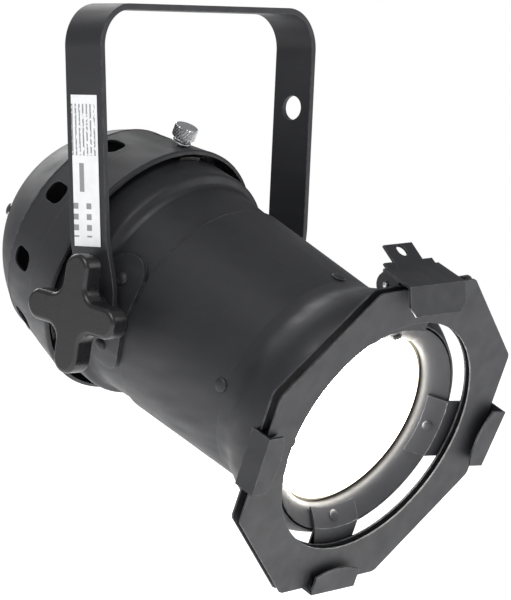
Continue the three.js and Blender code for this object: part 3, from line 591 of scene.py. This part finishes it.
def make_pivot_hardware():
    washers = {"pivot_spacer": (59.3, 62.3, 9), "pivot_washer": (62.6, 64.2, 10)}
    for side, mirror in MIRROR.items():
        place = PIVOT @ mirror
        for name, (low, high, r) in washers.items():
            ring = [(low, BORE_R), (low, r - 0.4), (low + 0.4, r),
                    (high - 0.4, r), (high, r - 0.4), (high, BORE_R)]
            piece(lathe(ring, place, 64), f"{name}_{side}_turned", f"{name}_{side}")
        bolt = [(49.6, 0), (49.6, 6), (50.1, 6.5), (52.6, 6.5), (52.6, 4), (77.1, 4), (77.5, 3.6), (77.5, 0)]
        turned = lathe(bolt, place, SMALL_FACETS, loop=False)
        piece(turned, f"pivot_bolt_{side}_turned", f"pivot_bolt_{side}")
        soften(f"pivot_plate_{side}", 0.4, 50)


def domed_rivet(head_r, head_t, shank_r, grip, tail_r):
    """A pressed rivet: a low dome outside, a shank, and a closed tail behind the sheets."""
    dome = [(head_t * math.sin(a), head_r * math.cos(a)) for a in (math.radians(9 * i) for i in range(10))]
    tail = [(-grip - 1, 0), (-grip - 1, tail_r * 0.8), (-grip - 0.7, tail_r), (-grip, tail_r)]
    return [*tail, (-grip, shank_r), (0, shank_r), (0, head_r * 0.97), *dome, (head_t, 0)]


def make_rivets():
    def place_all(names, sizes, *where):
        for name, degrees in names.items():
            piece(lathe(domed_rivet(*sizes), seat(*where, degrees), 32, loop=False), f"{name}_domed", name)

    quarters = {"right": 0, "top": 90, "left": 180, "bottom": 270}
    saddle_seat = 58.9
    upper = math.degrees(math.asin((18 - 3) / saddle_seat))
    lower = math.degrees(math.asin((-18 - 3) / saddle_seat))
    place_all({"plate_rivet_right_upper": upper, "plate_rivet_right_lower": lower,
               "plate_rivet_left_upper": 180 - upper, "plate_rivet_left_lower": 180 - lower},
              (3, 1.7, 1.6, 5.1, 2.5), saddle_seat + GAP, 0, 0)
    place_all({f"barrel_rivet_{side}": turn for side, turn in quarters.items()},
              (3.4, 1.1, 1.5, 3.6, 2.4), 55.3 + GAP, 77, 0)
    funnel = bezier(*RING_FUNNEL, 1000)
    (s, r), ahead = funnel[800], funnel[801]
    lean = math.atan2(ahead[1] - r, s - ahead[0])
    out = SHEET + 1.2 + 2 * GAP
    place_all({f"clip_rivet_{side}": turn for side, turn in CLIP_TURNS.items()},
              (2.6, 1.4, 1.5, SHEET + 1.2 + 3 * GAP, 2.2),
              r + out * math.cos(lean), s + out * math.sin(lean), math.degrees(lean))
    c, sn = (f(math.radians(BRACKET_SEAT["tilt"])) for f in (math.cos, math.sin))
    place_all({"bracket_rivet_right": 0, "bracket_rivet_left": 180},
              (3, 1.4, 1.6, SHEET + 1.5 + 9 * GAP, 2.4),
              BRACKET_SEAT["r"] + GAP * c, BRACKET_SEAT["s"] + GAP * sn, BRACKET_SEAT["tilt"])


# ---------------------------------------------------------------- can, cap and lamp
def smoothed(points, steps):
    return [spline_point(points, i / steps) for i in range(steps + 1)]


def make_can():
    shoulder = [REAR[0], REAR[1], *smoothed(REAR[1:5], 18)[1:], REAR[5], REAR[6]]
    piece(lathe(wall(shoulder, SHEET), FORWARD, CAN_FACETS), "rear_body_spun", "rear_body")
    mouth = [(BARREL_BACK, BARREL_BACK_R), (BARREL_BACK + 1.5, BARREL_BACK_R - 0.02), *smoothed(BELL, 40)]
    piece(lathe(wall(mouth, SHEET), FORWARD, CAN_FACETS), "front_barrel_spun", "front_barrel")
    ring = [*RING_SLEEVE, *bezier(*RING_FUNNEL, 24)]
    piece(lathe(wall(ring, SHEET), FORWARD, CAN_FACETS), "lamp_ring_spun", "lamp_ring")


def rounded_slot(width, height, corner):
    x, y = width / 2 - corner, height / 2 - corner
    corners = ((x, y, 0), (-x, y, 90), (-x, -y, 180), (x, -y, 270))
    return [point for cx, cy, turn in corners for point in arc(cx, cy, corner, turn, turn + 90, 8)]


def make_cap():
    dome = bezier(CAP_BAND, (CAP_POLE + 2.5, 0.7 * CAP_BAND[1]), (CAP_POLE, 0), 30)
    band_s, band_r = CAP_BAND
    bead = [(band_s + 0.45, band_r + 0.1), (band_s + 0.2, band_r + 0.28), (band_s - 0.15, band_r + 0.2)]
    rim_s, rim_r = CAP_RIM
    step_s, step_r = CAP_STEP
    skirt = [
        (rim_s + 1.2, rim_r - 1.8), (rim_s + 1.1, rim_r - 0.8), (rim_s + 0.6, rim_r - 0.15), (rim_s, rim_r),
        (rim_s - 1.2, rim_r - 0.15), (rim_s - 2.5, rim_r - 0.6),
        (step_s + 0.6, step_r + 0.16), (step_s + 0.2, step_r + 0.1), (step_s - 0.1, step_r - 0.25),
        (step_s - 0.5, step_r - 0.32), (step_s - 1, step_r - 0.35),
    ]
    outer = [*skirt, *bead, *dome[1:]]
    inner = [(s, max(r, 0)) for s, r in offset_line(outer, SHEET)]
    inner[-1] = (CAP_POLE + SHEET, 0)
    shell = lathe([*reversed(outer), *inner], FORWARD, CAN_FACETS, loop=False)
    slot = rounded_slot(VENT["axial"], VENT["around"], VENT["corner"])
    cuts = []
    for i in range(VENT["count"]):
        place = round_can(VENT["first"] + 360 / VENT["count"] * i)
        cuts.append(prism([(y - VENT["s"], z) for y, z in slot], 45, 75, place))
    cuts.append(prism([(y - THUMB["s"], z) for y, z in arc(0, 0, 2.7, 0, 345, 23)], 55, 80, round_can(90)))
    for name, turns, size in ((GLAND_SEAT, (270,), 6.4), (BRACKET_SEAT, (0, 180), 1.9)):
        for degrees in turns:
            place = seat(name["r"], name["s"], name["tilt"], degrees)
            cuts.append(prism(arc(0, 0, size, 0, 345, 23), -9, 9, place))
    piece(combined(shell, cuts), "rear_cap_spun", "rear_cap", sharp=40)


def make_lens():
    dome = bezier((LENS["edge"], LENS["r"]), (LENS["front"], 0.9 * LENS["r"]), (LENS["front"], 0), 24)
    back = LENS["back"]
    line = [(back, 0), (back, LENS["r"] - 0.4), (back + 0.8, LENS["r"]), *dome]
    piece(lathe(line, FORWARD, 128, loop=False), "lamp_lens_pressed", "lamp_lens")


def make_thumb_screw():
    place = round_can(90) @ Matrix.Translation(Vector((0, -THUMB["s"], 0)) * MM)
    stem = lathe([(THUMB["foot"], 0), (THUMB["foot"], 1.8), (THUMB["foot"] + 0.4, 2.2), (THUMB["neck"], 2.2),
                  (THUMB["neck"], 3.6), (THUMB["head"] + 1, 3.6), (THUMB["head"] + 1, 0)],
                 place, SMALL_FACETS, loop=False)
    bm = bmesh.new()
    height = THUMB["top"] - THUMB["head"]
    levels = [(0, 1.0), (0.07, 0.0), *((0.07 + 0.86 * i / 8, 0.0) for i in range(1, 9)), (1, 1.0)]
    count = 4 * THUMB["flutes"]
    rings = []
    for share, ease in levels:
        ring = []
        for i in range(count):
            groove = 0.6 * (1 - abs((i % 4) - 2) / 2) * (1 - ease)
            r = THUMB["r"] - 0.5 * ease - groove
            a = 2 * math.pi * i / count + math.radians(34) * share
            x = THUMB["head"] + height * share
            ring.append(bm.verts.new(place @ (Vector((x, r * math.cos(a), r * math.sin(a))) * MM)))
        rings.append(ring)
    for one, two in zip(rings, rings[1:]):
        for i in range(count):
            j = (i + 1) % count
            bm.faces.new((one[i], one[j], two[j], two[i]))
    bm.faces.new(rings[0])
    bm.faces.new(rings[-1])
    piece(joined(bm, stem), "knurled_thumb_screw", "thumb_screw", sharp=30)
    low, high = THUMB["washer"], THUMB["washer"] + 1.1
    washer = [(low, 2.5), (low, 4.6), (low + 0.2, 4.8), (high - 0.2, 4.8), (high, 4.6), (high, 2.5)]
    piece(lathe(washer, place, 64), "thumb_washer_turned", "thumb_screw_washer")


# ---------------------------------------------------------------- colour frame, clips and latch
def frame_plate(station, splay):
    """One of the frame's two plates: an octagon with a round hole, its sheet edges eased."""
    half = FRAME["flats"] / 2
    inner = half - FRAME["corner"]
    corners = [(-inner, half), (inner, half), (half, inner), (half, -inner),
               (inner, -half), (-inner, -half), (-half, -inner), (-half, inner)]
    outline = []
    for i, corner in enumerate(corners):
        reach = 1.2
        for other in (corners[i - 1], corners[(i + 1) % 8]):
            length = math.hypot(other[0] - corner[0], other[1] - corner[1])
            outline.append(tuple(c + (o - c) * reach / length for c, o in zip(corner, other)))
    ease = 0.15
    curve = bpy.data.curves.new("plate", "CURVE")
    curve.dimensions, curve.fill_mode = "2D", "BOTH"
    curve.extrude = (FRAME["t"] / 2 - ease) * MM
    curve.bevel_depth, curve.bevel_resolution = ease * MM, 2
    curve.offset = -ease * MM
    for points in (outline, arc(0, 0, FRAME["hole"], 0, -360 + 2.5, 143)):
        spline = curve.splines.new("POLY")
        spline.points.add(len(points) - 1)
        for target, (x, y) in zip(spline.points, points):
            target.co = (x * MM, y * MM, 0, 1)
        spline.use_cyclic_u = True
    flat = bpy.data.objects.new("plate", curve)
    bpy.context.scene.collection.objects.link(flat)
    bpy.context.view_layer.update()
    shaped = flat.evaluated_get(bpy.context.evaluated_depsgraph_get()).to_mesh()
    bm = bmesh.new()
    bm.from_mesh(shaped)
    bpy.data.objects.remove(flat)
    bpy.data.curves.remove(curve)
    hinge = Matrix.Translation(Vector((half, -station, 0)) * MM)
    swing = hinge @ Matrix.Rotation(math.radians(splay), 4, "Z")
    swing = swing @ Matrix.Translation(Vector((-half, 0, 0)) * MM)
    stand = Matrix.Rotation(math.pi / 2, 4, "X") @ Matrix.Translation(Vector((0, 0, FRAME["t"] / 2)) * MM)
    bmesh.ops.transform(bm, matrix=round_can(FRAME_ROLL) @ swing @ stand, verts=bm.verts)
    bmesh.ops.remove_doubles(bm, verts=bm.verts, dist=2e-6)
    return bm


def make_colour_frame():
    rear = frame_plate(FRAME["back"], 0)
    front = frame_plate(FRAME["front"] - FRAME["t"], FRAME["splay"])
    half = FRAME["flats"] / 2
    reach = half - FRAME["corner"] - 1
    low, high = -FRAME["front"] + 0.5, -FRAME["back"]
    fold = prism([(low, -reach), (high, -reach), (high, reach), (low, reach)], half - 1, half,
                 round_can(FRAME_ROLL))
    piece(joined(rear, front, round_edges(fold, 0.35)), "colour_frame_folded", "colour_frame")


def make_spring():
    """The latch spring: a close-wound coil round the pin."""
    curve = bpy.data.curves.new("coil", "CURVE")
    curve.dimensions = "3D"
    curve.bevel_depth, curve.bevel_resolution, curve.use_fill_caps = 0.58 * MM, 3, True
    turns, length, radius = 5, 18, 3.2
    count = 32 * turns
    spline = curve.splines.new("POLY")
    spline.points.add(count)
    for i, point in enumerate(spline.points):
        a = 2 * math.pi * turns * i / count
        local = Vector((length * (i / count - 0.5), -120 + radius * math.cos(a), 76.5 + radius * math.sin(a)))
        point.co = (*(round_can(LATCH_ROLL) @ (local * MM)), 1)
    coil = bpy.data.objects.new("coil", curve)
    bpy.context.scene.collection.objects.link(coil)
    bpy.context.view_layer.update()
    shaped = coil.evaluated_get(bpy.context.evaluated_depsgraph_get()).to_mesh()
    bm = bmesh.new()
    bm.from_mesh(shaped)
    bpy.data.objects.remove(coil)
    bpy.data.curves.remove(curve)
    piece(bm, "latch_spring_coiled", "latch_spring")


def make_nose_fittings():
    make_colour_frame()
    make_spring()
    for side in ("right", "left", "bottom"):
        soften(f"frame_clip_{side}", 0.28)
    soften("latch_bracket", 0.25)
    soften("frame_latch", 0.3)
    pin = [(-19.4, 0), (-19.4, 1.2), (-19.1, 1.5), (19.1, 1.5), (19.4, 1.2), (19.4, 0)]
    place = round_can(LATCH_ROLL) @ Matrix.Translation(Vector((0, -120, 76.5)) * MM)
    piece(lathe(pin, place, 32, loop=False), "latch_pin_turned", "latch_pin")


def make_cap_fittings():
    for node in ("cap_lug_top", "cap_lug_left", "cap_lug_right", "lampholder_bracket", "terminal_block"):
        soften(node, 0.2)
    for node in ("cable_gland_body", "cable_gland_nut", "cable_gland_locknut"):
        soften(node, 0.4)
    soften("lampholder", 0.4, 45)
    for node in ("lamp_reflector", "lamp_base"):
        soften(node, 0.1, 60)


# ---------------------------------------------------------------- camera, floor and light
def make_camera():
    """The photograph's view: a long lens from the front left, a little above the lantern."""
    turn, rise, roll = (math.radians(a) for a in (-48.27, 3.52, 0.69))
    back = Vector((math.sin(turn) * math.cos(rise), -math.cos(turn) * math.cos(rise), math.sin(rise)))
    right = Vector((math.cos(turn), math.sin(turn), 0))
    up = back.cross(right)
    right, up = (right * math.cos(roll) + up * math.sin(roll), up * math.cos(roll) - right * math.sin(roll))
    data = bpy.data.cameras.new("camera")
    data.sensor_width, data.lens = 36, 235.6
    data.shift_x, data.shift_y = 0.0087, 0.0222
    data.clip_start, data.clip_end = 0.05, 50
    camera = bpy.data.objects.new("camera", data)
    bpy.context.scene.collection.objects.link(camera)
    place = Matrix((right, up, back)).transposed().to_4x4()
    place.translation = Vector((43.8, 0, -151.7)) * MM + back * 1.954
    camera.matrix_world = place
    bpy.context.scene.camera = camera


def make_floor():
    """A plain flat pale floor under the hanging lantern."""
    level, reach = -0.36, 4.0
    bm = bmesh.new()
    bm.faces.new([bm.verts.new((x, y, level)) for x, y in
                  ((-reach, -reach), (reach, -reach), (reach, reach), (-reach, reach))])
    floor = holder_of(bm, "studio_floor")
    s = Shader("studio_floor", Roughness=0.9, Emission_Color=(1, 1, 1, 1), Emission_Strength=0.75)
    s.colour(s.mix(s.noise(400, 3), (0.86, 0.86, 0.86), (0.9, 0.9, 0.9)))
    floor.data.materials.append(s.material)
    floor.rotation_euler.z = math.radians(-48)


def softbox(name, place, target, size, watts, colour=(1, 1, 1)):
    data = bpy.data.lights.new(name, "AREA")
    data.shape, data.size, data.size_y = "RECTANGLE", *size
    data.energy, data.color = watts, colour
    light = bpy.data.objects.new(name, data)
    bpy.context.scene.collection.objects.link(light)
    light.location = place
    light.rotation_mode = "QUATERNION"
    light.rotation_quaternion = (Vector(target) - Vector(place)).to_track_quat("-Z", "Y")


def make_light():
    centre = (0, 0, -0.15)
    softbox("key_above_left", (-1.3, -0.9, 1.5), centre, (1.4, 1.4), 26)
    softbox("fill_front_right", (1.7, -1.6, 0.2), centre, (1.2, 1.8), 11)
    softbox("rim_behind", (0.6, 1.7, 1.1), centre, (1.6, 1.0), 22)
    world = bpy.data.worlds.new("studio")
    bpy.context.scene.world = world
    world.use_nodes = True
    tree = world.node_tree
    path = tree.nodes.new("ShaderNodeLightPath")
    surface = tree.nodes["Background"]
    surface.inputs["Color"].default_value = (1, 1, 1, 1)
    strength = tree.nodes.new("ShaderNodeMapRange")
    strength.inputs["To Min"].default_value = 0.32
    strength.inputs["To Max"].default_value = 1.0
    tree.links.new(path.outputs["Is Camera Ray"], strength.inputs["Value"])
    tree.links.new(strength.outputs["Result"], surface.inputs["Strength"])
    bpy.context.scene.view_settings.view_transform = "Standard"


for node, shown in frame["nodes"].items():
    shown.data.materials.clear()
    shown.data.materials.append(FINISHES[NODE_SLOT[node]])

make_camera()
make_yoke()
make_knobs()
make_pivot_hardware()
make_rivets()
make_can()
make_cap()
make_cap_fittings()
make_lens()
make_thumb_screw()
make_nose_fittings()
make_floor()
make_light()

bpy.context.view_layer.update()
